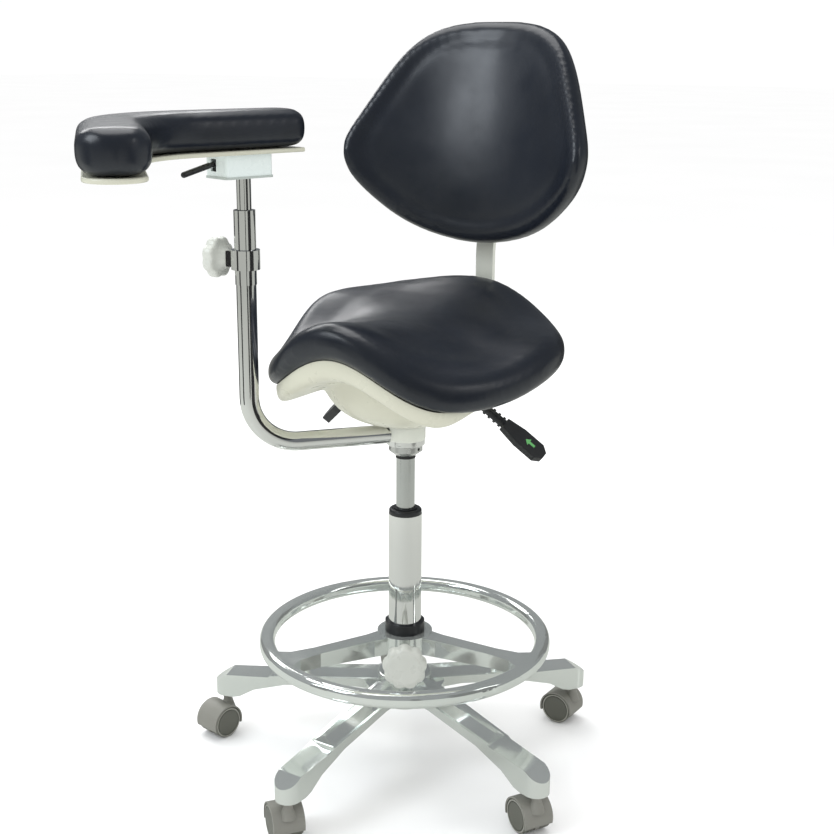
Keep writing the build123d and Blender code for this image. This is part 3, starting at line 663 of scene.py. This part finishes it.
def star_knob(name, place, radius, lobes, start, length, boss):
    deep = 0.10
    end = start + length
    grip = [(0.80, start, 0), (0.93, start + 0.6, deep), (0.99, start + 3, deep), (1, start + 6, deep),
            (1, end - 6, deep), (0.985, end - 3, deep), (0.93, end - 0.8, deep * 0.9),
            (0.84, end, deep * 0.5), (0.78, end + 0.1, 0), (0.765, end + 0.6, 0), (0.74, end + 1.3, 0),
            (0.55, end + 1.6, 0), (0.2, end + 1.7, 0)]
    profile = [(r, z, 0) for r, z in boss] + [(radius * f, z, w) for f, z, w in grip]
    return turned(name, place, profile, KNOB, lobes, lobes * 12)


arm_knob = star_knob("arm_knob_grip", along(POST + Vector((0, 0, 0.7905)), 185), 29, 8, 38, 17,
                     [(3.2, 27.6), (9, 27.6), (9.3, 28.4), (15.8, 37)])
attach(arm_knob, "arm_clamp_screw")
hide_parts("arm_knob")
ring_knob = star_knob("ring_knob_grip", along(Vector((0, 0, 0.196)), 303), 33, 9, 88, 24,
                      [(4.2, 62.2), (10, 62.2), (10.3, 63), (16.8, 87)])
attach(ring_knob, "ring_clamp")
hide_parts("ring_knob")


def tube_piece(name, place, profile, material, body):
    """Closed band of revolution; the profile runs once round its wall."""
    theta = np.linspace(0, 2 * math.pi, 64, endpoint=False)
    columns = []
    for t in theta:
        columns.append([(r * math.cos(t), r * math.sin(t), z) for r, z in profile])
    columns = np.array(columns) * MM
    columns = in_frame(place, columns.reshape(-1, 3)).reshape(columns.shape)
    n = len(profile)
    faces = []
    for i in range(64):
        j = (i + 1) % 64
        faces += [(i * n + k, j * n + k, j * n + (k + 1) % n, i * n + (k + 1) % n) for k in range(n)]
    piece = new_object(name, columns.reshape(-1, 3), faces, material)
    fix_normals(piece)
    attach(piece, body)
    return piece


HUB_BAND = [(28.3, 533), (28.8, 532.4), (29.3, 533), (29.4, 534), (29.4, 553.6), (29.1, 554.9), (28.2, 555.4),
            (19, 555.5), (19, 555.1), (28.0, 555.0), (28.3, 554)]
tube_piece("arm_hub_sleeve", Matrix.Translation((0, 0, DATUM * MM)), HUB_BAND, PAINT, "arm")


# ---------------------------------------------------------------- pale rim bands of the caster wheels
RIM_BAND = [(21.5, 17.4), (21.5, 17.9), (21.8, 18.25), (22.9, 18.3), (23.4, 18.1), (23.7, 17.7), (23.4, 17.4)]
LEG_ANGLES = [54, 126, 198, 270, 342]
TRAIL_ANGLES = [179, 133, 261, 144, 150]
for number in range(5):
    stem = Matrix.Rotation(math.radians(LEG_ANGLES[number]), 4, "Z") @ Vector((0.296, 0, 0))
    wheel = Matrix.Translation(stem) @ Matrix.Rotation(math.radians(TRAIL_ANGLES[number]), 4, "Z")
    for side, word in ((1, "left"), (-1, "right")):
        outward = Matrix.Rotation(-side * math.pi / 2, 4, "X")
        place = wheel @ Matrix.Translation((0.019, side * 0.004, 0.025)) @ outward
        caster = f"caster_{number + 1}_{word}"
        tube_piece(f"{caster}_rim_band", place, RIM_BAND, RIM, caster)


# ---------------------------------------------------------------- generic mark on the lever paddle
def lever_mark():
    """Plain arrow, a generic sign for raising and lowering, on the paddle of the height lever."""
    droop = math.radians(38.5)
    place = Matrix.Rotation(math.radians(19), 4, "Z") @ Matrix.Translation((0.090, 0, (609 + DATUM) * MM))
    place = place @ Matrix.Rotation(math.pi / 2 + droop, 4, "Y") @ Matrix.Rotation(math.radians(35), 4, "Z")
    shapes = [[(0, 8), (6, 1), (2, 1), (2, -9), (-2, -9), (-2, 1), (-6, 1)]]
    slant = math.cos(droop)
    middle = (182 - 90) / slant
    verts = []
    faces = []
    for shape in shapes:
        base = len(verts)
        for depth in (-6.4, -6.9):
            for u, v in shape:
                verts.append(np.array([depth, u, middle - v]) * MM)
        n = len(shape)
        faces.append(tuple(range(base + n, base + 2 * n)))
        faces += [(base + i, base + (i + 1) % n, base + n + (i + 1) % n, base + n + i) for i in range(n)]
    obj = new_object("lever_arrow_mark", in_frame(place, np.array(verts)), faces, MARK, smooth=False)
    fix_normals(obj)
    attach(obj, "height_lever")


lever_mark()


# ---------------------------------------------------------------- floor, light
def stage_plane(name, size, place, material):
    s = size / 2
    corners = [(-s, -s, 0), (s, -s, 0), (s, s, 0), (-s, s, 0)]
    obj = new_object(name, corners, [(0, 1, 2, 3)], material, smooth=False)
    obj.matrix_world = place
    return obj


def floor_material():
    n = Nodes("floor_pale_painted_shade_in_reflections")
    tone = n.ramp(n.noise(0.7, 2), (0.96, 0.96, 0.96), (0.98, 0.98, 0.98))
    # Painted shade: rays reflected off shiny surfaces see the floor painted dark grey (0.46) instead of its
    # pale colour, to darken its reflections in the metal.
    sight = n.add("ShaderNodeLightPath")
    mix = n.add("ShaderNodeMix", data_type="RGBA")
    mix.inputs[7].default_value = (0.46, 0.47, 0.44, 1)
    n.link(sight.outputs["Is Glossy Ray"], mix.inputs[0])
    n.link(tone, mix.inputs[6])
    n.link(mix.outputs[2], n.shader.inputs["Base Color"])
    distance = n.add("ShaderNodeVectorMath", operation="LENGTH")
    n.link(n.coord, distance.inputs[0])
    n.link(n.remap(distance.outputs["Value"], 0.30, 0.0, 0.5, 1.1), n.shader.inputs["Specular IOR Level"])
    n.link(n.remap(n.noise(3, 2), 0.12, 0.18), n.shader.inputs["Roughness"])
    return n.mat


def card_material(name, value):
    n = Nodes(name)
    n.set(Specular_IOR_Level=0.0, Roughness=1.0)
    n.link(n.ramp(n.noise(0.5, 1), (value,) * 3, (value * 1.1,) * 3), n.shader.inputs["Base Color"])
    return n.mat


stage_plane("floor", 80, Matrix.Identity(4), floor_material())


def aim(obj, place, target):
    obj.location = place
    obj.rotation_euler = (Vector(target) - Vector(place)).to_track_quat("-Z", "Y").to_euler()


def softbox(name, place, target, size, power, spread=180, tint=(1, 1, 1)):
    data = bpy.data.lights.new(name, "AREA")
    data.shape = "RECTANGLE"
    data.size, data.size_y = size
    data.energy = power
    data.spread = math.radians(spread)
    data.color = tint
    obj = bpy.data.objects.new(name, data)
    scene.collection.objects.link(obj)
    aim(obj, place, target)
    return obj


TO_CAMERA_SIDE = Matrix.Rotation(STOOL_TURN, 3, "Z")


def seen(x, y, z):
    """Point given to the camera's right, away from it, and up."""
    return TO_CAMERA_SIDE @ Vector((x, y, z))


softbox("light_top", seen(-0.4, 0.6, 3.0), seen(0, 0, 0.4), (2.0, 2.0), 34)
softbox("light_left", seen(-2.3, -1.2, 2.5), seen(0.1, 0.2, 0.8), (1.5, 1.3), 34, tint=(0.88, 0.94, 1))
softbox("light_right", seen(2.5, -1.0, 1.9), seen(0, 0, 0.6), (0.5, 1.6), 7)
softbox("light_rear", seen(-1.4, 2.6, 2.4), seen(0, 0, 0.7), (2.2, 0.8), 22)


def dark_flag(name, heading, distance, width, height, tone=0.02):
    """Standing black flag that only shiny surfaces see, for the dark bands in polished metal.

    heading is counted from the camera's side of the stool, positive to the camera's right."""
    a = math.radians(heading)
    w = width / 2
    card = new_object(name, [(-w, 0, 0.01), (w, 0, 0.01), (w, 0, height), (-w, 0, height)], [(0, 1, 2, 3)],
                      card_material(name + "_black", tone), smooth=False)
    spot = seen(distance * math.sin(a), -distance * math.cos(a), 0)
    card.matrix_world = Matrix.Translation(spot) @ Matrix.Rotation(STOOL_TURN + a, 4, "Z")
    card.visible_camera = False
    card.visible_diffuse = False
    card.visible_shadow = False
    card.visible_transmission = False


dark_flag("flag_right_front", 50, 1.7, 1.1, 1.5)
dark_flag("flag_left_front", -62, 1.7, 0.40, 1.5)
dark_flag("flag_camera", 8, 2.3, 0.28, 1.3)
dark_flag("flag_left_rear", -128, 1.8, 0.9, 1.2, 0.05)
dark_flag("flag_right_rear", 140, 1.8, 0.9, 1.2, 0.05)


def make_world():
    world = bpy.data.worlds.new("studio")
    world.use_nodes = True
    scene.world = world
    tree = world.node_tree
    background = tree.nodes["Background"]
    sight = tree.nodes.new("ShaderNodeLightPath")
    mix = tree.nodes.new("ShaderNodeMix")
    mix.data_type = "RGBA"
    mix.inputs[6].default_value = (1.02, 1.02, 1.02, 1)
    mix.inputs[7].default_value = (0.17, 0.18, 0.19, 1)
    tree.links.new(sight.outputs["Is Glossy Ray"], mix.inputs[0])
    tree.links.new(mix.outputs[2], background.inputs["Color"])
    background.inputs["Strength"].default_value = 1.0


make_world()
